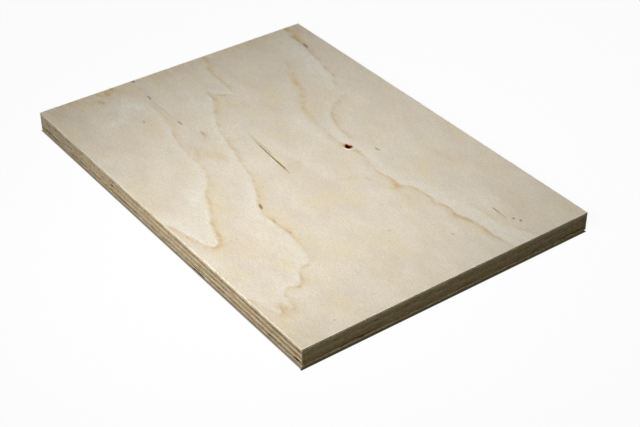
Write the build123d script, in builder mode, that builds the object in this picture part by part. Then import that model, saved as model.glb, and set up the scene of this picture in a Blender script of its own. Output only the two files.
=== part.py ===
from build123d import *
import os

# The sheet lies flat: X runs with the grain of its faces, Y across it, Z up from the back face.
# The origin is the middle of the back face.
sheet_length = 297.0
sheet_width = 210.0
corner_radius = 0.4

# Seven plies, each turned a quarter to the next. The outer two are sanded a little thinner.
face_thickness = 1.8
back_thickness = 1.8
cross_thickness = 1.82
long_thickness = 1.82

# The sharp rims of both faces are broken by hand sanding
sanded_rim = 0.25

# Pin knot in the face: its dried heart has sunk and left a shallow bowl
knot_length = 6.6
knot_width = 4.2
knot_depth = 0.9
knot_turn = 12.0
knot_floor_share = 0.6
knot_place_shares = (0.5185, 0.66)

# Split in the face, running with its grain and right through the veneer: a long closing tail to the
# left of its widest place and a short head to the right
split_tail = 38.0
split_head = 13.0
split_opening = 0.5
split_turn = -4.4
split_place_shares = (0.495, 0.4385)

# Open gap between two strips of the middle cross ply, closing as it runs in from the long side
core_gap_opening = 1.9
core_gap_run = 88.0
core_gap_drift = 1.1
core_gap_share = 0.32

# Broken strip end in the lowest cross ply, beside the front corner
corner_gap_opening = 4.4
corner_gap_run = 13.0
corner_gap_drift = 0.8
corner_gap_share = 0.983

# Hollows in the underside of a ply, where torn veneer left no wood. Each opens at the sawn edge.
slit_height = 0.6
slit_depth = 3.5
long_slit = 43.0
middle_slit = 19.0
short_slit = 9.0
void_opening = 3.6
void_height = 0.95
void_depth = 5.0
hollow_floor_share = 0.45

# Splinter broken out of the lower rim of the back, on the long side
chip_length = 16.0
chip_height = 0.9
chip_depth = 1.6
chip_share = 0.655

# Where the hollows open: along the long side from the left end, and across the end from the front
side_slit_shares = ((0.055, middle_slit), (0.357, middle_slit))
end_slit_shares = ((0.157, long_slit), (0.525, short_slit), (0.934, short_slit))
side_void_shares = (0.898,)
end_void_shares = (0.799,)
centre_void_shares = (0.714,)

# Heights of the glue faces, counted up from the back face
cross_6_base = back_thickness
long_5_base = cross_6_base + cross_thickness
cross_4_base = long_5_base + long_thickness
long_3_base = cross_4_base + cross_thickness
cross_2_base = long_3_base + long_thickness
face_base = cross_2_base + cross_thickness
face_top = face_base + face_thickness


def side_plane(share, height):
    """Plane on the long side, its x along the sheet, facing out."""
    place = (share - 0.5) * sheet_length
    return Plane(origin=(place, -sheet_width / 2, height), x_dir=(1, 0, 0), z_dir=(0, -1, 0))


def end_plane(share, height):
    """Plane on the end, its x across the sheet, facing out."""
    place = (share - 0.5) * sheet_width
    return Plane(origin=(sheet_length / 2, place, height), x_dir=(0, 1, 0), z_dir=(1, 0, 0))


def ply_blank(base, thickness):
    """Plain ply, sawn square with its neighbours."""
    with BuildPart() as blank:
        with BuildSketch(Plane.XY.offset(base)):
            RectangleRounded(sheet_length, sheet_width, corner_radius)
        extrude(amount=thickness)
    return blank.part


def hollow(plane, opening, height, depth):
    """Hollow with a flat bottom and an arched top, which starts at the plane and narrows inwards."""
    with BuildPart() as body:
        for step, share in ((0, 1), (-depth, hollow_floor_share)):
            with BuildSketch(plane.offset(step)):
                with BuildLine():
                    chord = Line((-opening * share / 2, 0), (opening * share / 2, 0))
                    SagittaArc(chord @ 0, chord @ 1, height * share)
                make_face()
        loft()
    return body.part


def strip_gap(share, base, opening, run, drift):
    """Full-height gap between two strips, from the long side to the point where they meet."""
    mouth = (share - 0.5) * sheet_length
    edge = -sheet_width / 2
    with BuildPart() as body:
        with BuildSketch(Plane.XY.offset(base)):
            with BuildLine():
                left = (mouth - opening / 2, edge)
                right = (mouth + opening / 2, edge)
                point = (mouth + drift, edge + run)
                Line(left, right)
                SagittaArc(right, point, -drift)
                SagittaArc(point, left, drift / 2)
            make_face()
        extrude(amount=cross_thickness)
    return body.part


with BuildPart() as face_veneer:
    add(ply_blank(face_base, face_thickness))
    rim = face_veneer.faces().sort_by(Axis.Z)[-1].edges()
    fillet(rim, radius=min(sanded_rim, face_thickness / 2))

    # Knot bowl, oval at the face and smaller at its floor
    knot_x = (knot_place_shares[0] - 0.5) * sheet_length
    knot_y = (knot_place_shares[1] - 0.5) * sheet_width
    knot_frame = Plane(origin=(knot_x, knot_y, face_top), z_dir=(0, 0, 1)).rotated((0, 0, knot_turn))
    for drop, share in ((0, 1), (-knot_depth, knot_floor_share)):
        with BuildSketch(knot_frame.offset(drop)):
            Ellipse(knot_length * share / 2, knot_width * share / 2)
    loft(mode=Mode.SUBTRACT)

    # Split, closed at both ends
    split_x = (split_place_shares[0] - 0.5) * sheet_length
    split_y = (split_place_shares[1] - 0.5) * sheet_width
    split_frame = Plane(origin=(split_x, split_y, face_base), z_dir=(0, 0, 1)).rotated((0, 0, split_turn))
    with BuildSketch(split_frame):
        with BuildLine():
            Spline((-split_tail, 0), (0, split_opening / 2), (split_head, 0))
            Spline((split_head, 0), (0, -split_opening / 2), (-split_tail, 0))
        make_face()
    extrude(amount=face_thickness, mode=Mode.SUBTRACT)

with BuildPart() as cross_ply_2:
    add(ply_blank(cross_2_base, cross_thickness))

with BuildPart() as long_ply_3:
    add(ply_blank(long_3_base, long_thickness))

with BuildPart() as cross_ply_4:
    add(ply_blank(cross_4_base, cross_thickness))
    gap = strip_gap(core_gap_share, cross_4_base, core_gap_opening, core_gap_run, core_gap_drift)
    add(gap, mode=Mode.SUBTRACT)
    for share in centre_void_shares:
        void = hollow(side_plane(share, cross_4_base), void_opening, void_height, void_depth)
        add(void, mode=Mode.SUBTRACT)

with BuildPart() as long_ply_5:
    add(ply_blank(long_5_base, long_thickness))

with BuildPart() as cross_ply_6:
    add(ply_blank(cross_6_base, cross_thickness))
    gap = strip_gap(
        corner_gap_share, cross_6_base, corner_gap_opening, corner_gap_run, corner_gap_drift
    )
    add(gap, mode=Mode.SUBTRACT)
    for share, opening in side_slit_shares:
        slit = hollow(side_plane(share, cross_6_base), opening, slit_height, slit_depth)
        add(slit, mode=Mode.SUBTRACT)
    for share, opening in end_slit_shares:
        slit = hollow(end_plane(share, cross_6_base), opening, slit_height, slit_depth)
        add(slit, mode=Mode.SUBTRACT)
    for share in side_void_shares:
        void = hollow(side_plane(share, cross_6_base), void_opening, void_height, void_depth)
        add(void, mode=Mode.SUBTRACT)
    for share in end_void_shares:
        void = hollow(end_plane(share, cross_6_base), void_opening, void_height, void_depth)
        add(void, mode=Mode.SUBTRACT)

with BuildPart() as back_veneer:
    add(ply_blank(0, back_thickness))
    rim = back_veneer.faces().sort_by(Axis.Z)[0].edges()
    fillet(rim, radius=min(sanded_rim, back_thickness / 2))
    chip = hollow(side_plane(chip_share, 0), chip_length, chip_height, chip_depth)
    add(chip, mode=Mode.SUBTRACT)

plies = {
    "face_veneer": face_veneer,
    "cross_ply_2": cross_ply_2,
    "long_ply_3": long_ply_3,
    "cross_ply_4": cross_ply_4,
    "long_ply_5": long_ply_5,
    "cross_ply_6": cross_ply_6,
    "back_veneer": back_veneer,
}

os.makedirs("parts", exist_ok=True)
for name, ply in plies.items():
    ply.part.label = name
    export_step(ply.part, f"parts/{name}.step")
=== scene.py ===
import math

import bmesh
import bpy
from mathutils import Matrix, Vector, kdtree, noise


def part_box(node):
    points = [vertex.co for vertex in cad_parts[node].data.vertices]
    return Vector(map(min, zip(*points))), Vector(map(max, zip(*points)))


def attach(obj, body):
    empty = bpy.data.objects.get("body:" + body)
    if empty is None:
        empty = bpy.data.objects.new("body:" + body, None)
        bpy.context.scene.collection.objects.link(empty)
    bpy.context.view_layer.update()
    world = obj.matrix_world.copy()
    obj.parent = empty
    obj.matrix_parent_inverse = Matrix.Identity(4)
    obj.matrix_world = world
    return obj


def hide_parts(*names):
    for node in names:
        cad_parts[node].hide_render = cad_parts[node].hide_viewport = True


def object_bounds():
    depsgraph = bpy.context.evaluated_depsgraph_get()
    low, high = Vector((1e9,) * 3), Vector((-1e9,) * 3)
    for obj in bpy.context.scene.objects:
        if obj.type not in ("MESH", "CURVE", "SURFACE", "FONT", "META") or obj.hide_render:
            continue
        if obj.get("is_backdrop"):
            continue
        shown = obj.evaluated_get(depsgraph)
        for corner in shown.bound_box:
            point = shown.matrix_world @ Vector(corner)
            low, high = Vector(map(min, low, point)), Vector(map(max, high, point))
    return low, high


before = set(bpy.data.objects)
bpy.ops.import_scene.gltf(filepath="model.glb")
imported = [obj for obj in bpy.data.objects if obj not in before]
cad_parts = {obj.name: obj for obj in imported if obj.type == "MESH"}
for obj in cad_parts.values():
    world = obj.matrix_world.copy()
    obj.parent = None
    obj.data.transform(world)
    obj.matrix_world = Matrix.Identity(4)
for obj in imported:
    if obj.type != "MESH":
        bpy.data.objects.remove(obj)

MM = 0.001
cad_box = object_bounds()

# Back veneer: the sheet's underside, a rotary-cut birch veneer 1.8 mm thick with its grain along the
# sheet. It is pressed and glued under the core, trimmed with it by a panel saw and lightly sanded.
saw_step = 0.6 * MM
wall_rows = 4
sawn_corner = 0.4 * MM
corner_facets = 3
press_gap = 0.002 * MM
wall_skim = 0.004 * MM
end_recess = 0.03 * MM
end_pit_depth = 0.14 * MM
end_pit_pitch = 0.9
groove_depth = 0.04 * MM
groove_pitch = 1.2
groove_stretch = 0.9
smooth_angle = math.radians(40)
flat_least = 4 * MM ** 2

# How far the patches of a pattern break up into smaller ones, between which values they fade in, and
# from which share of its size outwards an oval fades.
plain_detail = 1.0
usual_detail = 2.0
fine_detail = 3.0
usual_contrast = (0.3, 0.7)
soft_oval = 0.2

# Sizes of the grain in the edges, in millimetres along the sheet, across it and up.
fibre_size = (9.0, 9.0, 0.32)
end_ring_size = (14.0, 14.0, 0.5)
end_pore_size = (1.3, 1.3, 0.8)
end_pore_contrast = (0.5, 0.68)
wall_patch_size = (24.0, 24.0, 6.0)
veneer_shift = 37.0
wall_patch_share = 0.35
end_pore_strength = 0.55
end_band_spread = 0.45
end_grain_from = 0.3
end_grain_to = 0.8
glue_break_size = (7.0, 7.0, 3.0)
glue_taper = 3
torn_size = (2.6, 2.6, 0.8)
torn_contrast = (0.47, 0.64)
stain_size = (9.0, 9.0, 3.0)
stain_contrast = (0.45, 0.65)
stain_strength = 0.38
stain_brown = "#A5783E"
# Inside a gap, from these depths in millimetres on, the wood is painted a dark brown as shade.
hollow_from = 0.2
hollow_to = 0.4
hollow_shade_brown = "#4A320F"
speck_brown = "#45300F"
wall_grain_depth = 0.12 * MM
wall_bump_strength = 0.5

wood_roughness = 0.72
wood_specular = 0.2
back_cream = "#DDCFB2"
back_blush = "#D6C2A0"
back_late_wood = "#B7935F"
back_figure_size = (150.0, 42.0, 20.0)
back_ring_count = 9.0
back_ring_fade = 4.0
back_ring_strength = 0.55
back_mottle_size = (45.0, 16.0, 20.0)
back_fibre_size = (11.0, 0.7, 1.0)
back_fibre_contrast = (0.45, 0.7)
back_fibre_strength = 0.3
underside_from = -0.4
underside_to = -0.7

# Tones of the edges: end_drift is how dark the end grain is at the left and at the right, torn how
# strongly the torn specks show, and glue_reach how far the glue shows, in millimetres from the ply's
# upper edge (1) and its lower one (-1).
back_tones = {
    "long_light": "#E2D6BC",
    "long_dark": "#BCA785",
    # Painted light: the end grain is nearly as pale as the long grain, as the white table lights the
    # lower arris from below.
    "end_light": "#DED3B0",
    "end_dark": "#BFAF84",
    "end_drift": (0.5, 0.5),
    "torn": 0.3,
    "glue_reach": {1: 0.4},
    "glue": "#4A3A1C",
}


def start_clean():
    """Leaves nothing selected, so that an operator acts only on the next new piece."""
    if bpy.context.object and bpy.context.object.mode != "OBJECT":
        bpy.ops.object.mode_set(mode="OBJECT")
    bpy.ops.object.select_all(action="DESELECT")


def select_edges(piece, wanted):
    """In edit mode, selects the edges whose two ends answer wanted(a, b)."""
    bpy.ops.mesh.select_mode(type="EDGE")
    bpy.ops.mesh.select_all(action="DESELECT")
    mesh = bmesh.from_edit_mesh(piece.data)
    for edge in mesh.edges:
        edge.select = wanted(edge.verts[0].co, edge.verts[1].co)
    mesh.select_flush_mode()
    bmesh.update_edit_mesh(piece.data)


def sawn_ply(name, node):
    """Ply with plain faces and finely divided sawn walls, within the node's box."""
    low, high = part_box(node)
    size = high - low
    middle = (low + high) / 2
    floor_height = low.z + press_gap
    rise = (size.z - 2 * press_gap) / wall_rows
    start_clean()
    bpy.ops.mesh.primitive_plane_add(size=1, location=(middle.x, middle.y, floor_height))
    ply = bpy.context.object
    ply.name = name
    ply.scale = (size.x, size.y, 1)
    bpy.ops.object.transform_apply(location=True, rotation=True, scale=True)
    bpy.ops.object.mode_set(mode="EDIT")
    bpy.ops.mesh.select_all(action="SELECT")
    bpy.ops.mesh.bevel(offset=sawn_corner, segments=corner_facets, affect="VERTICES")
    bpy.ops.mesh.delete(type="ONLY_FACE")

    # Two rounds of cuts, because one round makes a hundred at most
    for axis in (0, 1):
        span = size[axis] - 2 * sawn_corner
        cuts = round(math.sqrt(span / saw_step)) - 1
        select_edges(ply, lambda a, b: abs(a[axis] - b[axis]) > span / 2)
        bpy.ops.mesh.subdivide(number_cuts=cuts)
        bpy.ops.mesh.subdivide(number_cuts=cuts)
    select_edges(ply, lambda a, b: True)
    bpy.ops.mesh.edge_face_add()
    select_edges(ply, lambda a, b: True)
    for row in range(wall_rows):
        bpy.ops.mesh.extrude_edges_move(TRANSFORM_OT_translate={"value": (0, 0, rise)})
    bpy.ops.mesh.edge_face_add()
    bpy.ops.mesh.select_all(action="SELECT")
    bpy.ops.mesh.normals_make_consistent(inside=False)
    bpy.ops.object.mode_set(mode="OBJECT")
    return ply


def noise_share(place):
    """Smooth noise, brought to between 0 and 1."""
    return noise.noise(place) * 0.5 + 0.5


def roughen_walls(ply, node, end_axis):
    """Tears the sawn walls back by up to a fifth of a millimetre: deepest where a wall cuts the fibres
    across, at either end of end_axis, and in fine grooves along the fibres elsewhere."""
    low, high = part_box(node)
    half = (high - low) / 2
    middle = (low + high) / 2
    for vertex in ply.data.vertices:
        place = vertex.co - middle
        out = Vector((
            math.copysign(max(abs(place.x) - half.x + sawn_corner, 0), place.x),
            math.copysign(max(abs(place.y) - half.y + sawn_corner, 0), place.y),
            0,
        ))
        if out.length < sawn_corner / 2:
            continue
        out.normalize()
        millimetres = vertex.co / MM
        end_grain = abs(out[end_axis])
        pits = noise_share(millimetres * end_pit_pitch)
        stripe = Vector((millimetres.x, millimetres.y, millimetres.z * groove_pitch))
        stripe[1 - end_axis] *= groove_pitch
        grooves = noise_share(stripe * groove_stretch)
        depth = end_grain * (end_recess + end_pit_depth * pits ** 2) + groove_depth * grooves
        vertex.co -= out * (depth + wall_skim)


def cut_like_cad(ply, node):
    """Opens in the piece the same gaps and hollows as its node has."""
    start_clean()
    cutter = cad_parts[node].copy()
    cutter.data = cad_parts[node].data.copy()
    bpy.context.scene.collection.objects.link(cutter)
    cutter.select_set(True)
    bpy.context.view_layer.objects.active = cutter
    bpy.ops.object.mode_set(mode="EDIT")
    bpy.ops.mesh.select_all(action="SELECT")
    bpy.ops.mesh.remove_doubles(threshold=press_gap / 4)
    bpy.ops.object.mode_set(mode="OBJECT")
    start_clean()
    ply.select_set(True)
    bpy.context.view_layer.objects.active = ply
    opening = ply.modifiers.new("openings", "BOOLEAN")
    opening.operation = "INTERSECT"
    opening.solver = "EXACT"
    opening.object = cutter
    bpy.ops.object.modifier_apply(modifier=opening.name)
    bpy.data.objects.remove(cutter)


def lay_in_sheet(ply, node, wood):
    """Smooths the piece within its flat faces and its walls, gives it its wood and lets it stand for
    its node."""
    start_clean()
    ply.select_set(True)
    bpy.context.view_layer.objects.active = ply
    bpy.ops.object.shade_smooth_by_angle(angle=smooth_angle)
    flats = [face for face in ply.data.polygons if face.area > flat_least]
    flat_rims = {key for flat in flats for key in flat.edge_keys}
    for edge in ply.data.edges:
        edge.use_edge_sharp = edge.use_edge_sharp or edge.key in flat_rims
    ply.data.materials.clear()
    ply.data.materials.append(wood)
    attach(ply, "root")
    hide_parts(node)


def linear(hex_colour):
    """The linear colour of an sRGB hex value."""
    channels = [int(hex_colour[place:place + 2], 16) / 255 for place in (1, 3, 5)]
    return (*[c / 12.92 if c <= 0.04045 else ((c + 0.055) / 1.055) ** 2.4 for c in channels], 1)


def add_node(tree, kind, inputs=None, **settings):
    """Adds a node with its settings. An input takes a value, or a node or socket to be linked to it."""
    made = tree.nodes.new(kind)
    for name, value in settings.items():
        setattr(made, name, value)
    for name, value in (inputs or {}).items():
        if isinstance(name, int):
            socket = made.inputs[name]
        else:
            socket = next(s for s in made.inputs if s.enabled and s.name == name)
        if isinstance(value, bpy.types.Node):
            value = next(s for s in value.outputs if s.enabled)
        if isinstance(value, bpy.types.NodeSocket):
            tree.links.new(value, socket)
        else:
            socket.default_value = value
    return made


def new_wood(name):
    """An empty material. Returns it and its tree."""
    wood = bpy.data.materials.new(name)
    wood.use_nodes = True
    wood.node_tree.nodes.clear()
    return wood, wood.node_tree


def finish_wood(tree, colour, relief, depth, hollow):
    """Ends the tree in a dry, dull wood surface with the colour and a relief of that depth. Where the
    share hollow is 1, nothing shines."""
    shine = add_node(tree, "ShaderNodeMapRange", {
        "Value": hollow,
        "To Min": wood_specular,
        "To Max": 0.0,
    })
    raised = add_node(tree, "ShaderNodeBump", {
        "Height": relief,
        "Distance": depth,
        "Strength": wall_bump_strength,
    })
    surface = add_node(tree, "ShaderNodeBsdfPrincipled", {
        "Base Color": colour,
        "Roughness": wood_roughness,
        "Specular IOR Level": shine,
        "Normal": raised,
    })
    add_node(tree, "ShaderNodeOutputMaterial", {"Surface": surface})


def millimetre_place(tree, node):
    """Object coordinates in millimetres, counted from the middle of the node's box."""
    low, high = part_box(node)
    coordinates = add_node(tree, "ShaderNodeTexCoord")
    return add_node(tree, "ShaderNodeMapping", {
        "Vector": coordinates.outputs["Object"],
        "Location": -(low + high) / 2 / MM,
        "Scale": (1 / MM, 1 / MM, 1 / MM),
    })


def tint(tree, colour, tone, share, strength):
    """Lays a tone over the colour, as far as the share times the strength says."""
    shown = add_node(tree, "ShaderNodeMath", {0: share, 1: strength}, operation="MULTIPLY")
    return add_node(tree, "ShaderNodeMix", {
        "Factor": shown,
        "A": colour,
        "B": linear(tone),
    }, data_type="RGBA")


def grain(tree, place, size, detail=usual_detail, contrast=usual_contrast):
    """Patches from 0 to 1 that have the given size in millimetres along, across and up."""
    stretched = add_node(tree, "ShaderNodeVectorMath", {0: place, 1: size}, operation="DIVIDE")
    pattern = add_node(tree, "ShaderNodeTexNoise", {
        "Vector": stretched,
        "Scale": 1.0,
        "Detail": detail,
    })
    return add_node(tree, "ShaderNodeMapRange", {
        "Value": pattern.outputs["Fac"],
        "From Min": contrast[0],
        "From Max": contrast[1],
    })


def beyond_walls(tree, place, node, choice="MAXIMUM"):
    """How far a point lies outside the nearest sawn wall, in millimetres. It is less than 0 inside.
    With MINIMUM it is more than 0 only past a corner."""
    low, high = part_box(node)
    half = (high - low) / 2 / MM
    outline = add_node(tree, "ShaderNodeVectorMath", {0: place}, operation="ABSOLUTE")
    gaps = add_node(tree, "ShaderNodeVectorMath", {0: outline, 1: half}, operation="SUBTRACT")
    sides = add_node(tree, "ShaderNodeSeparateXYZ", {"Vector": gaps})
    return add_node(tree, "ShaderNodeMath", {
        0: sides.outputs["X"],
        1: sides.outputs["Y"],
    }, operation=choice)


def oval_share(tree, place, middle, half, turn=0.0, soft_from=soft_oval):
    """1 inside an oval, falling to 0 at its outline. Sizes are in millimetres."""
    inside = add_node(tree, "ShaderNodeMapping", {
        "Vector": place,
        "Location": middle,
        "Rotation": (0, 0, math.radians(turn)),
        "Scale": half,
    }, vector_type="TEXTURE")
    reach = add_node(tree, "ShaderNodeVectorMath", {0: inside}, operation="LENGTH")
    return add_node(tree, "ShaderNodeMapRange", {
        "Value": reach,
        "From Min": 1.0,
        "From Max": soft_from,
    }, interpolation_type="SMOOTHSTEP")


def sawn_edge(tree, place, node, end_axis, tones, specks=()):
    """An edge as the saw leaves it: fine streaks along the fibres, growth rings and open pores where
    the fibres are cut across, specks of torn wood, and dark glue along the ply's upper and lower edge.
    A pore and the glue line are a tenth of a millimetre wide, so pores are drawn ten times as wide, and
    the glue line twice or more, to show. The insides of gaps are painted a dark brown as shade. Returns
    the colour, the grain's relief and the gaps' share."""
    low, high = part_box(node)
    half = (high - low) / 2 / MM
    coordinates = add_node(tree, "ShaderNodeTexCoord")
    facing = add_node(tree, "ShaderNodeSeparateXYZ", {"Vector": coordinates.outputs["Normal"]})
    turned = add_node(tree, "ShaderNodeMath", {0: facing.outputs[end_axis]}, operation="ABSOLUTE")
    cut_across = add_node(tree, "ShaderNodeMapRange", {
        "Value": turned,
        "From Min": end_grain_from,
        "From Max": end_grain_to,
    })
    middle = (low + high) / 2 / MM
    own_place = add_node(tree, "ShaderNodeVectorMath", {
        0: place,
        1: (middle.z * veneer_shift, middle.z * veneer_shift, 0),
    }, operation="ADD")
    patches = grain(tree, own_place, wall_patch_size)
    fibres = grain(tree, own_place, fibre_size, detail=fine_detail)
    rings = grain(tree, own_place, end_ring_size, detail=fine_detail)
    pores = grain(tree, own_place, end_pore_size, contrast=end_pore_contrast)
    streaks = add_node(tree, "ShaderNodeMix", {"Factor": wall_patch_share, "A": fibres, "B": patches})
    bands = add_node(tree, "ShaderNodeMix", {"Factor": wall_patch_share, "A": rings, "B": patches})
    position = add_node(tree, "ShaderNodeSeparateXYZ", {"Vector": place})
    drift = add_node(tree, "ShaderNodeMapRange", {
        "Value": position.outputs["X"],
        "From Min": -half.x,
        "From Max": half.x,
        "To Min": tones["end_drift"][0] - end_band_spread / 2,
        "To Max": tones["end_drift"][1] - end_band_spread / 2,
    })
    end_shade = add_node(tree, "ShaderNodeMath", {
        0: bands,
        1: end_band_spread,
        2: drift,
    }, operation="MULTIPLY_ADD", use_clamp=True)
    along = add_node(tree, "ShaderNodeMix", {
        "Factor": streaks,
        "A": linear(tones["long_light"]),
        "B": linear(tones["long_dark"]),
    }, data_type="RGBA")
    across = add_node(tree, "ShaderNodeMix", {
        "Factor": end_shade,
        "A": linear(tones["end_light"]),
        "B": linear(tones["end_dark"]),
    }, data_type="RGBA")
    pored = tint(tree, across, tones["glue"], pores, end_pore_strength)
    colour = add_node(tree, "ShaderNodeMix", {
        "Factor": cut_across,
        "A": along,
        "B": pored,
    }, data_type="RGBA")
    glue_breaks = grain(tree, own_place, glue_break_size)
    for side, reach in tones["glue_reach"].items():
        glue_line = add_node(tree, "ShaderNodeMapRange", {
            "Value": position.outputs["Z"],
            "From Min": side * (half.z - reach),
            "From Max": side * (half.z - reach / glue_taper),
        })
        colour = tint(tree, colour, tones["glue"], glue_line, glue_breaks)
    blemishes = (
        (stain_size, stain_contrast, stain_strength, stain_brown),
        (torn_size, torn_contrast, tones["torn"], speck_brown),
    )
    for size, contrast, strength, tone in blemishes:
        share = grain(tree, own_place, size, detail=fine_detail, contrast=contrast)
        colour = tint(tree, colour, tone, share, strength)
    # Listed specks: torn wood and glue, and painted shade where core gaps open.
    for speck_place, half_sizes, strength in specks:
        share = oval_share(tree, place, Vector(speck_place) - middle, half_sizes)
        colour = tint(tree, colour, speck_brown, share, strength)
    # Painted shade: the insides of gaps turn dark brown.
    gap_shade_share = add_node(tree, "ShaderNodeMapRange", {
        "Value": beyond_walls(tree, place, node),
        "From Min": -hollow_from,
        "From Max": -hollow_to,
    })
    colour = add_node(tree, "ShaderNodeMix", {
        "Factor": gap_shade_share,
        "A": colour,
        "B": linear(tones.get("hollow", hollow_shade_brown)),
    }, data_type="RGBA")
    relief = add_node(tree, "ShaderNodeMath", {0: fibres, 1: pores}, operation="SUBTRACT")
    return colour, relief, gap_shade_share


def birch_underside(node):
    """Birch, rotary cut and lightly sanded: to the eye a plain cream wood with wide flowing rings that
    fade to one side, because the knife runs round the log and meets each ring at a flat angle."""
    wood, tree = new_wood("birch_underside")
    place = millimetre_place(tree, node)
    edge, relief, hollow = sawn_edge(tree, place, node, 0, back_tones)
    stretched = add_node(tree, "ShaderNodeVectorMath", {
        0: place,
        1: back_figure_size,
    }, operation="DIVIDE")
    field = add_node(tree, "ShaderNodeTexNoise", {
        "Vector": stretched,
        "Scale": 1.0,
        "Detail": plain_detail,
    })
    counted = add_node(tree, "ShaderNodeMath", {0: field, 1: back_ring_count}, operation="MULTIPLY")
    ring = add_node(tree, "ShaderNodeMath", {0: counted}, operation="FRACT")
    faded = add_node(tree, "ShaderNodeMath", {0: ring, 1: back_ring_fade}, operation="POWER")
    ground = add_node(tree, "ShaderNodeMix", {
        "Factor": grain(tree, place, back_mottle_size),
        "A": linear(back_cream),
        "B": linear(back_blush),
    }, data_type="RGBA")
    ringed = tint(tree, ground, back_late_wood, faded, back_ring_strength)
    threads = grain(tree, place, back_fibre_size, detail=fine_detail, contrast=back_fibre_contrast)
    under = tint(tree, ringed, back_late_wood, threads, back_fibre_strength)
    coordinates = add_node(tree, "ShaderNodeTexCoord")
    facing = add_node(tree, "ShaderNodeSeparateXYZ", {"Vector": coordinates.outputs["Normal"]})
    downward = add_node(tree, "ShaderNodeMapRange", {
        "Value": facing.outputs["Z"],
        "From Min": underside_from,
        "From Max": underside_to,
    })
    colour = add_node(tree, "ShaderNodeMix", {
        "Factor": downward,
        "A": edge,
        "B": under,
    }, data_type="RGBA")
    hollow = add_node(tree, "ShaderNodeMix", {"Factor": downward, "A": hollow, "B": 0.0})
    finish_wood(tree, colour, relief, wall_grain_depth, hollow)
    return wood


back = sawn_ply("back_veneer_sawn", "back_veneer")
roughen_walls(back, "back_veneer", 0)
cut_like_cad(back, "back_veneer")
lay_in_sheet(back, "back_veneer", birch_underside("back_veneer"))

# Cross plies: three birch veneers of the core with their grain across the sheet. They are laid up from
# strips that don't always meet, so gaps and small hollows show where the saw has opened the edges.
cross_tones = {
    "long_light": "#BBAE87",
    "long_dark": "#96875F",
    "end_light": "#DFD2B2",
    "end_dark": "#95825E",
    "end_drift": (0.05, 0.85),
    "torn": 0.42,
    "glue_reach": {1: 0.26, -1: 0.26},
    "glue": "#3E3014",
}
lowest_tones = {
    **cross_tones,
    "long_light": "#A89669",
    "long_dark": "#7C693F",
    "end_dark": "#A28E68",
    "glue_reach": {1: 0.26, -1: 0.7},
    "glue": "#33260F",
}
upper_tones = {**cross_tones, "end_dark": "#83704B"}

# Dark specks in the long side and the end: torn wood and glue, and painted shade where the core gaps
# open, most of all along the end of the lowest cross ply. Place in the sheet, half sizes, strength.
cross_specks_and_gap_shade = {
    "cross_ply_2": [
        ((31.7, -105, 9.6), (3.0, 1.5, 0.5), 0.45), ((105, -105, 9.6), (2.5, 1.5, 0.6), 0.6),
        ((121, -105, 9.8), (2.2, 1.5, 0.6), 0.6), ((145.3, -105, 10.2), (3.5, 1.5, 0.8), 0.75),
        ((-98, -105, 9.4), (3.0, 1.5, 0.5), 0.3)],
    "cross_ply_4": [
        ((-97.5, -105, 7.0), (2.4, 1.5, 0.5), 0.7), ((-64.6, -105, 7.0), (2.4, 1.5, 0.45), 0.6),
        ((-53.6, -105, 6.8), (3.0, 1.5, 1.6), 1.0), ((61, -105, 6.6), (3.5, 1.5, 0.6), 0.6),
        ((-43.9, -105, 6.8), (4.0, 1.5, 0.5), 0.55), ((106.3, -105, 6.3), (2.6, 1.5, 0.7), 0.5),
        ((140, -105, 6.6), (6.0, 1.5, 0.6), 0.5)],
    "cross_ply_6": [
        ((-135, -105, 2.1), (17, 1.5, 1.3), 1.0), ((-40, -105, 2.3), (15, 1.5, 1.0), 0.9),
        ((-106, -105, 2.3), (6.0, 1.5, 0.5), 0.4), ((-93, -105, 2.3), (6.0, 1.5, 0.6), 0.35),
        ((-73, -105, 2.6), (12, 1.5, 0.5), 0.2), ((-6.4, -105, 3.5), (2.5, 1.5, 0.5), 0.5),
        ((72, -105, 3.2), (4.0, 1.5, 0.6), 0.7), ((120, -105, 2.9), (2.5, 1.5, 0.6), 0.6),
        ((144, -105, 2.9), (4.5, 1.5, 0.7), 0.9),
        ((68, -105, 2.2), (12, 1.5, 0.6), 0.4), ((148.5, -73, 2.1), (1.5, 26, 0.9), 0.95),
        ((148.5, 12, 2.0), (1.5, 18, 0.8), 0.8), ((148.5, 93, 2.1), (1.5, 16, 0.9), 0.95),
        ((148.5, -63, 2.3), (1.5, 15, 0.9), 0.9), ((148.5, -84, 2.3), (1.5, 11, 0.7), 0.7),
        ((148.5, 62.8, 2.4), (1.5, 3.5, 1.0), 1.0), ((148.5, 99, 2.3), (1.5, 8, 0.9), 0.8),
        ((148.5, 9, 2.3), (1.5, 11, 0.8), 0.6)],
}


def birch_core_ply(name, node, end_axis, tones, specks=()):
    """Birch core veneer, unsanded and sawn through: where the fibres run along an edge it looks pale
    and smooth, and where they end in it, dark and dull, because open fibre ends swallow the light."""
    wood, tree = new_wood(name)
    place = millimetre_place(tree, node)
    edge, relief, hollow = sawn_edge(tree, place, node, end_axis, tones, specks)
    finish_wood(tree, edge, relief, wall_grain_depth, hollow)
    return wood


for node in ("cross_ply_6", "cross_ply_4", "cross_ply_2"):
    cross = sawn_ply(node + "_sawn", node)
    roughen_walls(cross, node, 1)
    cut_like_cad(cross, node)
    node_tones = {"cross_ply_6": lowest_tones, "cross_ply_2": upper_tones}.get(node, cross_tones)
    core_wood = birch_core_ply("birch_" + node, node, 1, node_tones, cross_specks_and_gap_shade[node])
    lay_in_sheet(cross, node, core_wood)

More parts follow.
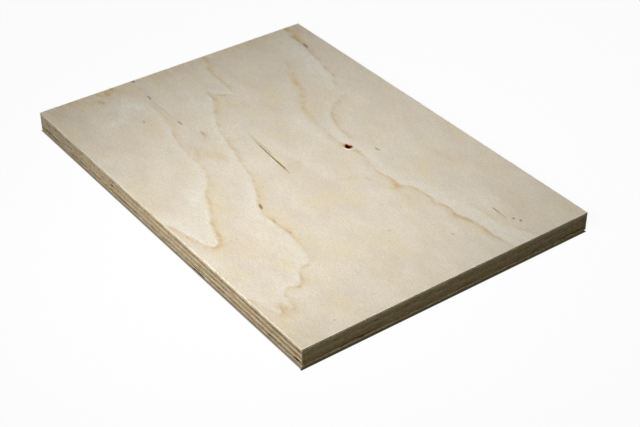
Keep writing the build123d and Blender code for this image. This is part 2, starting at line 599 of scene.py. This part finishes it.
# Long plies: two birch veneers of the core with their grain along the sheet, glued between the cross
# plies. Their fibres run along the long edges, which they stripe with a pale line each.
long_tones = {
    "long_light": "#E6D7B8",
    "long_dark": "#C8B189",
    "end_light": "#B1A37B",
    "end_dark": "#8A7B50",
    "end_drift": (0.5, 0.5),
    "torn": 0.38,
    "glue_reach": {1: 0.26, -1: 0.26},
    "glue": "#46371A",
}
long_specks_and_gap_shade = {
    "long_ply_3": [
        ((-137, -105, 8.3), (3.5, 1.5, 0.7), 0.45), ((148.5, -34, 8.7), (1.5, 9, 0.55), 0.6),
        ((148.5, -55, 8.3), (1.5, 1.6, 0.6), 0.7), ((148.5, 52, 7.9), (1.5, 5, 0.6), 0.35)],
    "long_ply_5": [
        ((-58.6, -105, 4.2), (2.4, 1.5, 0.5), 0.55), ((148.5, -60, 4.9), (1.5, 2, 0.6), 0.5),
        ((-100, -105, 4.0), (7, 1.5, 0.7), 0.2)],
}

for node in ("long_ply_5", "long_ply_3"):
    along_sheet = sawn_ply(node + "_sawn", node)
    roughen_walls(along_sheet, node, 0)
    cut_like_cad(along_sheet, node)
    core_wood = birch_core_ply("birch_" + node, node, 0, long_tones, long_specks_and_gap_shade[node])
    lay_in_sheet(along_sheet, node, core_wood)

# Face veneer: the upper outer ply, rotary-cut birch 1.8 mm thick with its grain along the sheet. It is
# glued over the core and sanded fine, with its rims broken by hand. A small knot has dried and sunk in
# it, and the veneer has split along the grain beside it.
face_step = 0.95 * MM
swell_depth = 0.03 * MM
swell_pitch = 0.06
tooth_depth = 0.02 * MM
tooth_pitch = 0.35
grain_stretch = 6

# Growth rings as they lie on this veneer: along from the left end and across from the near side, in
# millimetres, then how dark the ring is there. Light early wood lies on its pale side.
ring_sample = 0.4
ring_reach = 3.0
late_wood_width = 3.5
rings = [
    {"pale_side": -1, "pale_width": 6, "pale": 0.35, "points": [
        (0, 126.5, 0.9), (10, 124.5, 0.9), (15, 121.5, 1), (20, 120, 0.7), (30, 119.4, 0.5),
        (42, 119, 0.6), (50, 117.5, 0.3), (58, 116.5, 0.05)]},
    {"pale_side": -1, "pale_width": 5, "pale": 0.8, "points": [
        (60, 118, 0.1), (57, 115, 0.5), (53, 111, 0.9), (51, 107, 0.9), (44, 103.4, 0.6),
        (50, 102.5, 0.7), (56, 101, 0.8), (60, 98.5, 0.9), (64, 96, 0.95), (70, 92.5, 0.6),
        (82, 87, 0.6), (90, 83.5, 0.7), (100, 81, 0.7), (108, 79.4, 0.6), (117, 77, 0.5),
        (128, 74, 0.4), (140, 71.4, 0.35),
        (146, 70.5, 0.5), (155, 66.4, 0.8), (166, 61, 0.8), (172, 57.4, 1), (175.4, 56, 1),
        (181, 54, 0.5), (187, 53.4, 0.6), (192, 54, 0.9), (197, 54, 0.4), (202, 54.5, 0.6),
        (207, 55, 0.9), (212, 54.2, 0.5), (219, 53.6, 0.3), (227, 52, 0.35), (234, 50, 0.5),
        (239, 47, 0.7), (238.5, 43, 0.6), (241, 39, 0.7), (246, 36, 0.8), (251, 33, 1), (252, 30, 1),
        (250, 25, 0.6), (252, 21, 0.6), (258, 19, 0.5), (264, 18.3, 0.5), (267, 16, 0.5),
        (266.5, 14.4, 0.4), (261, 13.6, 0.3), (258, 13, 0.3), (261, 11.6, 0.4), (265.5, 9.4, 0.6),
        (266.4, 7.6, 0.65), (263, 6.2, 0.6), (255, 4, 0.45), (245, 1, 0.4), (242, -1, 0.3)]},
    {"pale_side": -1, "pale_width": 6, "pale": 0.9, "points": [
        (30, 64, 0.15), (44, 63.6, 0.3), (56, 62.4, 0.4), (68, 60, 0.5), (76, 57, 0.5), (86, 54.4, 0.4),
        (96, 52.6, 0.3), (108, 52, 0.35), (120, 51, 0.4), (130, 48, 0.6), (137, 44, 0.55),
        (142, 40, 0.6), (147, 36.5, 0.6), (153, 34, 0.7), (163, 29, 0.8), (173, 24, 0.9),
        (183, 20.4, 0.95), (189, 18.6, 0.95), (193, 16, 1), (194.4, 13, 1), (192, 9.6, 0.9),
        (188, 8, 0.8), (180, 6, 0.7), (170, 4, 0.6), (160, 1.5, 0.6), (154, -1, 0.5)]},
    {"pale_side": -1, "pale_width": 12, "pale": 0.7, "points": [
        (-1, 197.4, 0.9), (6, 196.4, 0.9), (12, 195.4, 0.9), (24, 194.4, 1), (33, 193, 0.9),
        (40, 191.4, 0.5), (48, 190.6, 0.35), (56, 189, 0.5), (64, 187, 0.6), (76, 185, 0.5),
        (83, 181, 0.4), (90, 178, 0.05)]},
    {"pale_side": 1, "pale_width": 6, "pale": 0.5, "points": [
        (128, 139.6, 0.3), (133, 138.6, 0.5), (140, 137.4, 0.6), (150, 138.4, 0.9), (154, 138.6, 1),
        (158, 138.4, 1), (164, 140.4, 0.8), (171, 140.4, 0.5), (178, 138.4, 0.5), (184, 137, 0.2),
        (190, 137, 0.6), (193, 137.4, 0.9), (199, 138.4, 1), (206, 138, 0.95), (210, 140, 0.9),
        (214, 143, 0.9), (222, 144, 0.9), (230, 144.4, 0.95), (236, 144, 1), (242, 146.4, 0.8),
        (250, 145.4, 0.9), (255, 146, 1), (261, 148.4, 1), (270, 149.4, 0.7), (279, 149.4, 0.9),
        (290, 151, 0.4), (298, 152, 0.4)]},
    {"pale_side": 1, "pale_width": 3, "pale": 0, "points": [
        (206, 138, 0.8), (209, 135, 0.8), (214, 134.4, 0.7), (219, 134.6, 0.4), (224, 135, 0.05)]},
    {"pale_side": -1, "pale_width": 3, "pale": 0, "points": [
        (182, 108, 0.1), (183, 114, 0.2), (184, 119, 0.35), (188, 124, 0.3), (196, 128, 0.25),
        (204, 129, 0.2), (209, 134, 0.4)]},
    {"pale_side": 1, "pale_width": 5, "pale": 0.5, "points": [
        (146, 146.4, 0.5), (140, 146.6, 0.6), (135, 147, 0.5), (128, 149, 0.7), (120, 152, 0.8),
        (114, 156, 0.8), (109, 161, 0.8), (106, 166, 0.5), (102, 174, 0.3), (101, 179, 0.2)]},
    {"pale_side": -1, "pale_width": 7, "pale": 0.6, "points": [
        (232, 153, 0.05), (245, 156.4, 0.12), (260, 160, 0.15), (270, 160, 0.2), (282, 164, 0.3),
        (290, 168, 0.4), (298, 170.4, 0.4)]},
]

# A ring fades out past its ends, over these millimetres. The wood beside it is tan on one side and
# pale on the other. The last two say over how many of its widths a soft form is worked out.
line_end_free = 0.5
line_end_fade = 2.0
tan_halo_share = 0.5
pale_least_share = 0.3
pale_widths = 2.5
soft_widths = 3

# Broad tan band of late wood with no sharp ring in it, traced in the same way.
tan_band_width = 2.6
tan_band_share = 0.8
tan_band = [
    (38, 172, 0.2), (50, 167, 0.35), (64, 161, 0.6), (74, 157, 0.9), (85, 153, 0.7), (95, 146, 0.6),
    (102, 143, 0.55), (110, 141, 0.5), (120, 140.2, 0.35), (128, 139.6, 0.25)]

# Pale and tan patches: middle along and across, half length, half width, turn in degrees, strength.
pale_patches = [
    (41, 34, 4.5, 8, 0, 0.9), (30, 48, 9, 7, 0, 0.7), (24, 54, 9, 5, 0, 0.6), (35, 57, 10, 5, 0, 0.6),
    (145, 29, 11, 5, -20, 0.9), (170, 10, 14, 5, -10, 0.4), (50, 90, 22, 5, -8, 0.6),
    (55, 182, 30, 6, -10, 0.6), (115, 132, 11, 6, 0, 0.5), (140, 132, 14, 3, 0, 0.5),
    (175, 143, 24, 3, 0, 0.45), (225, 151, 22, 3, 5, 0.4), (250, 155, 22, 3, 8, 0.3),
    (285, 158, 15, 6, 10, 0.35),
]
tan_patches = [
    (6, 46, 8, 5, 60, 0.75), (3, 53, 5, 4, 0, 0.9), (12, 38, 4, 4, 0, 0.5), (2, 28, 4, 8, 0, 0.35),
    (105, 59, 8, 5, 0, 0.4), (116, 67, 7, 4, 0, 0.35), (88, 73, 5, 2.5, 0, 0.45),
    (204, 185, 10, 8, 0, 0.2), (185, 107, 6, 12, 0, 0.2), (263, 83, 12, 7, 0, 0.25),
    (90, 127, 7, 4, 0, 0.2), (0, 105, 16, 130, 0, 0.25), (285, 10, 22, 22, 0, 0.12),
    (6, 8, 18, 18, 0, 0.2), (6, 203, 20, 12, 0, 0.25),
    (265, 9, 5, 7, 0, 0.5), (204, 52, 12, 3, 0, 0.1), (206, 26, 18, 10, 0, 0.2),
    (160.5, 141.3, 4.5, 1.6, 5, 0.6),
]

# Bark flecks and stains in the same measure. The last three are hairline tears.
flecks = [
    (26.6, 68.2, 4.6, 1.2, -4, 0.6), (66, 67.8, 4.4, 1.1, 0, 0.65), (1, 70.4, 3.4, 1.8, -10, 0.7),
    (51, 49.6, 2.8, 1.3, -10, 0.35), (176, 56.6, 4.6, 1.3, -20, 0.85), (193, 54.6, 3.6, 1.1, -8, 0.2),
    (208, 55.8, 2.2, 1.1, -8, 0.3), (30.4, 194.8, 5.8, 1.6, -8, 0.75), (14.5, 40, 3, 1.8, -20, 0.2),
    (167.5, 152, 3.2, 1.4, 0, 0.55), (275.2, 170.2, 1.7, 1.5, 0, 0.65),
    (279.2, 172.2, 1.8, 1.3, -35, 0.7), (265.8, 131, 1.4, 1.3, 0, 0.4),
    (287.5, 28.5, 1.5, 1.3, 0, 0.25), (85.4, 73, 4, 1.4, 0, 0.3), (241, 103.6, 2, 1, 0, 0.25),
    (46, 67.6, 22, 0.6, 0, 0.25), (262.5, 167.6, 5, 0.9, 0, 0.7), (268, 167.2, 7, 0.7, 0, 0.4),
]

# The wood beside the split, with painted shade that carries the crack on past its cut, and the knot's
# rim
# and heart, with painted highlights on the rim and painted shade deepening the dark bark of its sunk
# heart:
# colour, middle, half sizes, turn, where it starts to fade, strength.
split_colours_and_painted_shade = [
    ("#B89C60", (121, 95.4), (24, 1.3), -3.5, 0.2, 0.5),
    ("#E9DCB4", (141, 93.4), (14, 2.6), -4.5, 0.2, 0.6),
    ("#A98F55", (143, 92.8), (17, 1.2), -4.5, 0.2, 0.6),
    # Painted shade: a dark line that carries the crack on past its cut.
    ("#857648", (147, 92.4), (9, 0.8), -4.5, 0.3, 0.7),
]
knot_colours_and_painted_light = [
    ("#B4703C", (154.0, 139.3), (4.2, 3.0), 8, 0.5, 0.6),
    # Painted highlights: a pale orange and a near white patch on the knot's rim.
    ("#F6C39A", (152.9, 141.4), (3.2, 2.0), 25, 0.2, 1.0),
    ("#FBE8DC", (155.8, 137.0), (4.4, 1.8), 20, 0.3, 1.0),
    # The dark heart: dark bark, deepened with painted shade of its hollow.
    ("#4A1C06", (154.3, 139.6), (3.2, 1.9), 28, 0.5, 1.0),
    ("#210800", (153.4, 138.9), (3.2, 1.6), -12, 0.5, 1.0),
]

face_cream = "#E6DECD"
face_blush = "#DDD2C1"
face_lilac = "#D2C9C0"
face_straw = "#DDCFA8"
face_pale = "#E9E5DA"
face_tan = "#CFB07C"
face_ring = "#B9965C"
face_thread = "#B9A888"
face_fleck = "#775627"
face_rim = "#EFE6D0"
rim_width = 0.6
rim_taper = 4
face_fibre_strength = 0.2
face_grit_strength = 0.28
face_pore_strength = 0.14
face_cloud_share = 0.4
face_straw_strength = 0.5
face_lilac_strength = 0.4

# Patches of the face: size in millimetres along, across and up, detail, contrast.
face_patches = {
    "fibres": ((4.5, 0.7, 1.0), fine_detail, (0.42, 0.72)),
    "pores": ((3.0, 0.6, 1.0), usual_detail, (0.58, 0.72)),
    "grit": ((1.3, 0.9, 1.0), usual_detail, (0.35, 0.65)),
    "mottle": ((42.0, 17.0, 20.0), fine_detail, usual_contrast),
    "clouds": ((15.0, 6.0, 5.0), usual_detail, usual_contrast),
    "straw": ((34.0, 18.0, 12.0), fine_detail, (0.45, 0.7)),
    "lilac": ((22.0, 14.0, 9.0), fine_detail, (0.45, 0.7)),
    "pale_breaks": ((7.0, 3.0, 3.0), fine_detail, (0.35, 0.6)),
    "ring_breaks": ((8.0, 4.0, 3.0), usual_detail, (0.38, 0.62)),
}

# Where the tan and the pale wood are broken up: how much of them comes and goes, and what stays.
tan_break_shares = (1.0, 0.25)
pale_break_shares = (0.7, 0.4)

ring_wander = 0.7
ring_wander_size = (9.0, 2.2, 3.0)
ring_fray = 0.4
ring_fray_size = (4.5, 0.7, 3.0)
ring_half_width = 2.1
ring_strength = 0.42
fleck_wander = 0.8
fleck_wander_scale = 0.8
knot_middle = (154.0, 139.2)
knot_half = (4.4, 2.8)
firm_oval = 0.6
sanded_from = 0.2
sanded_to = 0.5
face_grain_depth = 0.07 * MM

# Here the tones also give the colour inside the split, a lighter painted shade than in the other gaps.
face_tones = {
    "long_light": "#EDE2CB",
    "long_dark": "#D7C6A4",
    "end_light": "#E8DAB5",
    "end_dark": "#C5B387",
    "end_drift": (0.5, 0.5),
    "torn": 0.15,
    "glue_reach": {-1: 0.26},
    "glue": "#4A3A1C",
    "hollow": "#7A6A40",
}


def sanded_ply(name, node):
    """Ply with a finely divided top that swells and sinks a little along its grain."""
    low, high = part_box(node)
    size = high - low
    middle = (low + high) / 2
    start_clean()
    bpy.ops.mesh.primitive_grid_add(
        size=1,
        x_subdivisions=round(size.x / face_step),
        y_subdivisions=round(size.y / face_step),
        location=(middle.x, middle.y, high.z - wall_skim),
    )
    ply = bpy.context.object
    ply.name = name
    ply.scale = (size.x, size.y, 1)
    bpy.ops.object.transform_apply(location=True, rotation=True, scale=True)
    bpy.ops.object.mode_set(mode="EDIT")
    bpy.ops.mesh.select_mode(type="EDGE")
    bpy.ops.mesh.select_all(action="DESELECT")
    bpy.ops.mesh.select_non_manifold()
    rise = (low.z + press_gap - high.z + wall_skim) / wall_rows
    for row in range(wall_rows):
        bpy.ops.mesh.extrude_edges_move(TRANSFORM_OT_translate={"value": (0, 0, rise)})
    bpy.ops.mesh.edge_face_add()
    bpy.ops.mesh.select_all(action="SELECT")
    bpy.ops.mesh.normals_make_consistent(inside=False)
    bpy.ops.object.mode_set(mode="OBJECT")
    for vertex in ply.data.vertices:
        if vertex.co.z < high.z - sawn_corner:
            continue
        grain_place = Vector((vertex.co.x / grain_stretch, vertex.co.y, 0)) / MM
        swell = noise_share(grain_place * swell_pitch)
        tooth = noise_share(grain_place * tooth_pitch)
        vertex.co.z -= swell_depth * swell + tooth_depth * tooth
    return ply


def smooth_run(points):
    """Closely spaced points on a smooth curve through the given ones, each with its darkness."""
    run = []
    padded = [Vector(p) for p in (points[0], *points, points[-1])]
    for before, start, stop, after in zip(padded, padded[1:], padded[2:], padded[3:]):
        steps = max(1, round((stop - start).to_2d().length / ring_sample))
        for step in range(steps):
            t = step / steps
            run.append(0.5 * (
                2 * start + (stop - before) * t
                + (2 * before - 5 * start + 4 * stop - after) * t ** 2
                + (3 * start - before - 3 * stop + after) * t ** 3
            ))
    run.append(padded[-1])
    return run


def near_line(run, places, reach):
    """For each place that lies within reach of the run, gives its index, its distance from the run
    (more than 0 to the left of it), its true distance and the darkness there."""
    tree = kdtree.KDTree(len(run))
    for index, sample in enumerate(run):
        tree.insert((sample.x, sample.y, 0), index)
    tree.balance()
    low = (min(s.x for s in run) - reach, min(s.y for s in run) - reach)
    high = (max(s.x for s in run) + reach, max(s.y for s in run) + reach)
    for index, place in enumerate(places):
        if not (low[0] < place.x < high[0] and low[1] < place.y < high[1]):
            continue
        nearest, sample_index, distance = tree.find(place)
        if distance > reach:
            continue
        ahead = run[min(sample_index + 1, len(run) - 1)] - run[max(sample_index - 1, 0)]
        along = ahead.to_2d().normalized()
        aside = (place - nearest).to_2d()
        yield index, along.x * aside.y - along.y * aside.x, distance, run[sample_index].z


def patch_share(place, patch):
    """How strongly a soft oval patch shows at a place."""
    middle_x, middle_y, half_length, half_width, turn, strength = patch
    offset = Vector((place.x - middle_x, place.y - middle_y))
    turned = math.radians(turn)
    along = offset.x * math.cos(turned) + offset.y * math.sin(turned)
    across = offset.y * math.cos(turned) - offset.x * math.sin(turned)
    return strength * math.exp(-(along / half_length) ** 2 - (across / half_width) ** 2)


def draw_figure(ply, node):
    """Writes the veneer's figure on the mesh: the distance from the nearest ring, its darkness, and
    how pale and how tan the wood is."""
    low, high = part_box(node)
    corner = Vector((low.x, low.y, 0))
    places = [(vertex.co - corner) / MM for vertex in ply.data.vertices]
    for place in places:
        place.z = 0
    distances = [ring_reach * 2] * len(places)
    darkness = [0.0] * len(places)
    pale = [0.0] * len(places)
    tan = [0.0] * len(places)
    for ring in rings:
        run = smooth_run(ring["points"])
        reach = max(pale_widths * ring["pale_width"], soft_widths * late_wood_width)
        for index, aside, distance, dark in near_line(run, places, reach):
            past_end = max(0.0, distance - abs(aside) - line_end_free)
            end_fade = max(0.0, 1 - past_end / line_end_fade)
            if distance < abs(distances[index]):
                distances[index] = aside
                darkness[index] = dark * end_fade * max(0.0, min(1.0, ring_reach - distance))
            if aside * ring["pale_side"] > 0:
                share = math.exp(-(distance / ring["pale_width"]) ** 2) * ring["pale"]
                pale[index] += share * min(1.0, dark + pale_least_share) * min(1.0, distance)
            else:
                tan[index] += tan_halo_share * dark * math.exp(-(distance / late_wood_width) ** 2)
    band_run = smooth_run(tan_band)
    for index, aside, distance, dark in near_line(band_run, places, soft_widths * tan_band_width):
        tan[index] += tan_band_share * dark * math.exp(-(distance / tan_band_width) ** 2)
    for shares, patches in ((pale, pale_patches), (tan, tan_patches)):
        for patch in patches:
            reach = soft_widths * max(patch[2], patch[3])
            for index, place in enumerate(places):
                if max(abs(place.x - patch[0]), abs(place.y - patch[1])) < reach:
                    shares[index] += patch_share(place, patch)
    figure = {"ring_distance": distances, "ring_darkness": darkness, "pale": pale, "tan": tan}
    for name, values in figure.items():
        layer = ply.data.attributes.new(name, "FLOAT", "POINT")
        layer.data.foreach_set("value", [float(value) for value in values])


def sanded_birch(node):
    """Birch, rotary cut and sanded with a fine paper: a dull cream with short silky fibres, wandering
    tan rings with pale early wood beside them, bark flecks and one dark knot. Fibres and pores are a
    few hundredths of a millimetre wide and are drawn about ten times as wide, so that they show."""
    wood, tree = new_wood("sanded_birch_face")
    low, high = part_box(node)
    half = (high - low) / 2 / MM
    place = millimetre_place(tree, node)
    edge, relief, hollow = sawn_edge(tree, place, node, 0, face_tones)
    flat_place = add_node(tree, "ShaderNodeVectorMath", {0: place, 1: (1, 1, 0)}, operation="MULTIPLY")
    patches = {
        name: grain(tree, place, size, detail, contrast)
        for name, (size, detail, contrast) in face_patches.items()
    }
    figure = {
        name: add_node(tree, "ShaderNodeAttribute", attribute_name=name).outputs["Fac"]
        for name in ("ring_distance", "ring_darkness", "pale", "tan")
    }
    blush = add_node(tree, "ShaderNodeMix", {
        "Factor": face_cloud_share,
        "A": patches["mottle"],
        "B": patches["clouds"],
    })
    colour = add_node(tree, "ShaderNodeMix", {
        "Factor": blush,
        "A": linear(face_cream),
        "B": linear(face_blush),
    }, data_type="RGBA")

    # Each layer lies over those before it: its share of the surface, how much of that shows, its tone
    broken_tan, broken_pale = [
        add_node(tree, "ShaderNodeMath", {0: breaks, 1: spread, 2: least}, operation="MULTIPLY_ADD")
        for breaks, (spread, least) in (
            (patches["ring_breaks"], tan_break_shares),
            (patches["pale_breaks"], pale_break_shares),
        )
    ]
    layers = (
        (patches["straw"], face_straw_strength, face_straw),
        (patches["lilac"], face_lilac_strength, face_lilac),
        (figure["pale"], broken_pale, face_pale),
        (figure["tan"], broken_tan, face_tan),
        (patches["fibres"], face_fibre_strength, face_thread),
        (patches["grit"], face_grit_strength, face_thread),
        (patches["pores"], face_pore_strength, face_fleck),
    )
    for share, strength, tone in layers:
        colour = tint(tree, colour, tone, share, strength)
    aside = figure["ring_distance"]
    for size, reach in ((ring_wander_size, ring_wander), (ring_fray_size, ring_fray)):
        wander = grain(tree, place, size)
        pushed = add_node(tree, "ShaderNodeMath", {
            0: wander,
            1: 2 * reach,
            2: aside,
        }, operation="MULTIPLY_ADD")
        aside = add_node(tree, "ShaderNodeMath", {0: pushed, 1: reach}, operation="SUBTRACT")
    ring_line = add_node(tree, "ShaderNodeMapRange", {
        "Value": add_node(tree, "ShaderNodeMath", {0: aside}, operation="ABSOLUTE"),
        "From Min": ring_half_width,
        "From Max": 0.0,
        "To Max": ring_strength,
    }, interpolation_type="SMOOTHSTEP")
    ring_share = add_node(tree, "ShaderNodeMath", {
        0: ring_line,
        1: figure["ring_darkness"],
    }, operation="MULTIPLY")
    colour = tint(tree, colour, face_ring, ring_share, broken_tan)
    wobble = add_node(tree, "ShaderNodeTexNoise", {
        "Vector": flat_place,
        "Scale": fleck_wander_scale,
        "Detail": plain_detail,
    })
    wobbled = add_node(tree, "ShaderNodeVectorMath", {
        0: wobble.outputs["Color"],
        1: (fleck_wander, fleck_wander, 0),
        2: flat_place,
    }, operation="MULTIPLY_ADD")
    from_corner = add_node(tree, "ShaderNodeVectorMath", {
        0: wobbled,
        1: (half.x - fleck_wander / 2, half.y - fleck_wander / 2, 0),
    }, operation="ADD")
    spots = [
        (face_fleck, (middle_x, middle_y), (half_length, half_width), turn, soft_oval, strength)
        for middle_x, middle_y, half_length, half_width, turn, strength in flecks
    ]
    knot_heart = oval_share(tree, from_corner, (*knot_middle, 0), (*knot_half, 1), soft_from=firm_oval)
    for tone, middle, half_sizes, turn, soft_from, strength in spots + split_colours_and_painted_shade + knot_colours_and_painted_light:
        share = oval_share(tree, from_corner, (*middle, 0), (*half_sizes, 1), turn, soft_from)
        colour = tint(tree, colour, tone, share, strength)
    rim_share = add_node(tree, "ShaderNodeMapRange", {
        "Value": beyond_walls(tree, place, node),
        "From Min": -rim_width,
        "From Max": -rim_width / rim_taper,
    })
    top = add_node(tree, "ShaderNodeMix", {
        "Factor": rim_share,
        "A": colour,
        "B": linear(face_rim),
    }, data_type="RGBA")
    coordinates = add_node(tree, "ShaderNodeTexCoord")
    facing = add_node(tree, "ShaderNodeSeparateXYZ", {"Vector": coordinates.outputs["Normal"]})
    upward = add_node(tree, "ShaderNodeMapRange", {
        "Value": facing.outputs["Z"],
        "From Min": sanded_from,
        "From Max": sanded_to,
    })
    whole = add_node(tree, "ShaderNodeMix", {
        "Factor": upward,
        "A": edge,
        "B": top,
    }, data_type="RGBA")
    finish_wood(tree, whole, relief, face_grain_depth, knot_heart)
    return wood


face = sanded_ply("face_veneer_sanded", "face_veneer")
roughen_walls(face, "face_veneer", 0)
cut_like_cad(face, "face_veneer")
draw_figure(face, "face_veneer")
lay_in_sheet(face, "face_veneer", sanded_birch("face_veneer"))

# Studio: the sheet lies on a plain white table, with one soft lamp in front of its long side, a weak
# lamp behind it and a little light from all round. The end that faces right stays in shade.
floor_gap = 0.2 * MM
floor_size = 8
floor_white = "#F8F8F8"
floor_shade_grey = "#626262"
floor_glow = 1.0
floor_glow_share = 0.95
# Painted shadow line along the sheet's foot: the distances in millimetres at which it is dark and clear,
# and its colour, light grey along the long side and near black past the right end.
contact_shadow_dark = {"side": 0.8, "end": 1.2}
contact_shadow_clear = {"side": 1.3, "end": 1.6}
contact_stop = 1.0
contact_shadow_grey = {"side": "#8E8678", "end": "#3C3926"}
# Painted shade on the table under the sheet.
under_sheet_shade_brown = "#4A3C20"
room_light = 0.07

lamp_place = (0.155, -0.32, 0.349)
lamp_aim = (-0.03, 0.128, 0)
lamp_size = 0.25
lamp_power = 0.824
lamp_spread = math.radians(80)
back_lamp_place = (-0.75, 0.75, 0.35)
back_lamp_power = 0.6
back_lamp_aim = (0, 0, 0)
back_lamp_spread = math.radians(180)

view_place = (0.62087, -0.43826, 0.5119)
view_turn = (54.572, 0.153, 53.714)
view_lens = 81.31
film_width = 36


def seen_directly(tree):
    """1 where a ray comes from the camera, a reflection or a clear material, else 0."""
    path = add_node(tree, "ShaderNodeLightPath")
    mirrored = add_node(tree, "ShaderNodeMath", {
        0: path.outputs["Is Glossy Ray"],
        1: path.outputs["Is Transmission Ray"],
    }, operation="MAXIMUM")
    return add_node(tree, "ShaderNodeMath", {
        0: path.outputs["Is Camera Ray"],
        1: mirrored,
    }, operation="MAXIMUM")


def white_table_painted_shadow():
    """White laminate: looks near white with a faint shadow and a painted shadow line where the sheet
    touches it. Under the sheet it has painted shade, and it throws little light on the edges."""
    laminate, tree = new_wood("white_table_painted_shadow")
    shadow_white = add_node(tree, "ShaderNodeBsdfDiffuse", {"Color": linear(floor_white)})
    glow = add_node(tree, "ShaderNodeEmission", {"Color": (1, 1, 1, 1), "Strength": floor_glow})
    bright = add_node(tree, "ShaderNodeMixShader", {0: floor_glow_share, 1: shadow_white, 2: glow})
    place = millimetre_place(tree, "back_veneer")
    gap = beyond_walls(tree, place, "back_veneer")
    past_corner = beyond_walls(tree, place, "back_veneer", "MINIMUM")
    position = add_node(tree, "ShaderNodeSeparateXYZ", {"Vector": place})
    low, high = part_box("back_veneer")
    half_length = (high.x - low.x) / 2 / MM
    past_end = add_node(tree, "ShaderNodeMath", {
        0: position.outputs["X"],
        1: half_length,
    }, operation="GREATER_THAN")
    contact = {
        part: add_node(tree, "ShaderNodeMapRange", {
            "Value": gap,
            "From Min": contact_shadow_clear[part],
            "From Max": contact_shadow_dark[part],
        }) for part in contact_shadow_grey
    }
    contact_shadow_share = add_node(tree, "ShaderNodeMix", {
        "Factor": past_end,
        "A": contact["side"],
        "B": contact["end"],
    })
    contact_shadow_tone = add_node(tree, "ShaderNodeMix", {
        "Factor": past_end,
        "A": linear(contact_shadow_grey["side"]),
        "B": linear(contact_shadow_grey["end"]),
    }, data_type="RGBA")
    under_sheet = add_node(tree, "ShaderNodeMath", {0: gap, 1: 0.0}, operation="LESS_THAN")
    shade_tone = add_node(tree, "ShaderNodeMix", {
        "Factor": under_sheet,
        "A": contact_shadow_tone,
        "B": linear(under_sheet_shade_brown),
    }, data_type="RGBA")
    # Painted shadow: the line and the shade under the sheet glow in their own dark colour.
    contact_shade = add_node(tree, "ShaderNodeEmission", {"Color": shade_tone})

    # Past a corner there is no painted shadow line, but at the near corner the two lines meet
    towards_near = add_node(tree, "ShaderNodeMath", {
        0: position.outputs["X"],
        1: position.outputs["Y"],
    }, operation="SUBTRACT")
    not_near = add_node(tree, "ShaderNodeMath", {0: towards_near, 1: half_length}, operation="LESS_THAN")
    outside = add_node(tree, "ShaderNodeMath", {
        0: past_corner,
        1: -contact_stop,
    }, operation="GREATER_THAN")
    bare = add_node(tree, "ShaderNodeMath", {0: outside, 1: not_near}, operation="MULTIPLY")
    contact_shadow_share = add_node(tree, "ShaderNodeMath", {
        0: contact_shadow_share,
        1: bare,
    }, operation="SUBTRACT", use_clamp=True)
    seen = add_node(tree, "ShaderNodeMixShader", {0: contact_shadow_share, 1: bright, 2: contact_shade})
    shade = add_node(tree, "ShaderNodeBsdfDiffuse", {"Color": linear(floor_shade_grey)})
    surface = add_node(tree, "ShaderNodeMixShader", {0: seen_directly(tree), 1: shade, 2: seen})
    add_node(tree, "ShaderNodeOutputMaterial", {"Surface": surface})
    return laminate


def add_lamp(name, place, aim, power, size, spread):
    """A square soft lamp at a place, turned towards a point."""
    light = bpy.data.lights.new(name, "AREA")
    light.energy = power
    light.size = size
    light.spread = spread
    lamp = bpy.data.objects.new(name, light)
    lamp.location = place
    lamp.rotation_euler = (Vector(aim) - Vector(place)).to_track_quat("-Z", "Y").to_euler()
    lamp.visible_camera = False
    bpy.context.scene.collection.objects.link(lamp)


start_clean()
bpy.ops.mesh.primitive_plane_add(size=floor_size, location=(0, 0, -floor_gap))
table = bpy.context.object
table.name = "table"
bpy.ops.object.transform_apply(location=True, rotation=True, scale=True)
table.data.materials.append(white_table_painted_shadow())
table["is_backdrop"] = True

add_lamp("front_lamp", lamp_place, lamp_aim, lamp_power, lamp_size, lamp_spread)
add_lamp("back_lamp", back_lamp_place, back_lamp_aim, back_lamp_power, lamp_size, back_lamp_spread)

room = bpy.data.worlds.new("room")
room.use_nodes = True
bpy.context.scene.world = room
sky = room.node_tree
sky.nodes.clear()
dim = add_node(sky, "ShaderNodeBackground", {"Color": (1, 1, 1, 1), "Strength": room_light})
white = add_node(sky, "ShaderNodeBackground", {"Color": (1, 1, 1, 1), "Strength": 1.0})
around = add_node(sky, "ShaderNodeMixShader", {0: seen_directly(sky), 1: dim, 2: white})
add_node(sky, "ShaderNodeOutputWorld", {"Surface": around})

lens = bpy.data.cameras.new("camera")
lens.lens = view_lens
lens.sensor_width = film_width
camera = bpy.data.objects.new("camera", lens)
camera.location = view_place
camera.rotation_euler = [math.radians(turn) for turn in view_turn]
bpy.context.scene.collection.objects.link(camera)
bpy.context.scene.camera = camera
bpy.context.scene.view_settings.view_transform = "Standard"

boxes = {"cad": cad_box, "scene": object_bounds()}
{name: [list(corner) for corner in box] for name, box in boxes.items()}
